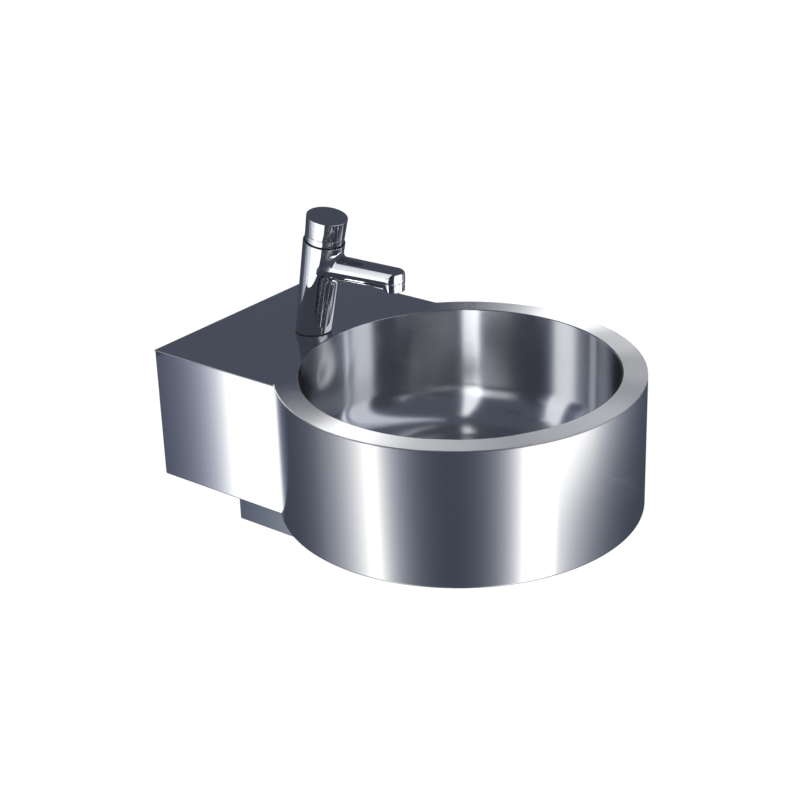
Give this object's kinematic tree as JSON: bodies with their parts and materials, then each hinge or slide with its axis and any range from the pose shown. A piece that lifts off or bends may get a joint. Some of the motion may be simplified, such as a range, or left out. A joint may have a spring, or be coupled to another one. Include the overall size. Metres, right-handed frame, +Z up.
{
  "type": "wall-hung wash basin with push tap",
  "caption": "Wall-hung stainless steel wash basin: round drum bowl, square tap deck, leaning self-closing push tap, waste cover underneath.",
  "frame": {"origin": "centre of the wall bolt pattern, on the wall plane", "axes": "+Y into the wall, +X to the right as seen from the front, +Z up; the basin stands out towards -Y"},
  "size_m": [0.35, 0.45, 0.3091],
  "materials": {
    "deck_sheet": "satin stainless steel, polished smooth, seen as one plate with the rim",
    "drum_sheet": "polished stainless steel with a fine grain round the drum",
    "side_sheet": "polished stainless steel with a fine upright grain",
    "bowl_sheet": "spun stainless steel, satin, with fine upright streaks",
    "cover_sheet": "satin stainless steel sheet",
    "plain_sheet": "unpolished stainless steel sheet",
    "bracket_zinc": "zinc-plated steel",
    "grate_steel": "polished pressed stainless steel",
    "screw_steel": "plain stainless steel screws",
    "spindle_steel": "bright turned or drawn stainless steel",
    "seal_rubber": "black rubber seal",
    "waste_plastic": "white moulded plastic",
    "cartridge_plastic": "off-white acetal",
    "brass_thread": "plain brass",
    "tap_chrome": "mirror chrome plate"
  },
  "bodies": {
    "basin": {"deck_plate": "deck_sheet", "drum_apron": "drum_sheet", "left_side_panel": "side_sheet", "right_side_panel": "side_sheet", "bowl": "bowl_sheet", "tap_stiffener": "plain_sheet", "hanger_rail": "plain_sheet", "wall_bracket": "bracket_zinc", "lock_screws": "screw_steel", "base_plate": "plain_sheet", "base_screws": "screw_steel", "waste_cover": "cover_sheet", "cover_screws": "screw_steel", "grate": "grate_steel", "grate_screw": "screw_steel", "grate_gasket": "seal_rubber", "bend_gasket": "seal_rubber", "waste_bend": "waste_plastic", "pipe_seal": "seal_rubber", "pipe_nut": "waste_plastic", "waste_pipe": "waste_plastic", "tap_body": "tap_chrome", "tap_shank": "brass_thread", "base_gasket": "seal_rubber", "tap_washer": "seal_rubber", "tap_backnut": "brass_thread", "cartridge_housing": "cartridge_plastic", "cartridge_head": "brass_thread", "cartridge_seals": "seal_rubber", "return_spring": "spindle_steel", "aerator_shell": "tap_chrome", "aerator_insert": "cartridge_plastic"},
    "cap": {"push_cap": "tap_chrome", "cap_skirt": "tap_chrome", "spindle": "spindle_steel", "piston": "cartridge_plastic", "piston_seal": "seal_rubber", "valve_washer": "spindle_steel", "valve_seal": "seal_rubber"}
  },
  "joints": [
    {"name": "cap_press", "type": "slide", "parent": "basin", "child": "cap", "axis": [0, 0.1994, -0.9799], "range_m": [0, 0.006], "stiffness_N_per_m": 1200, "springref_m": -0.01, "deforming": ["return_spring"]}
  ]
}
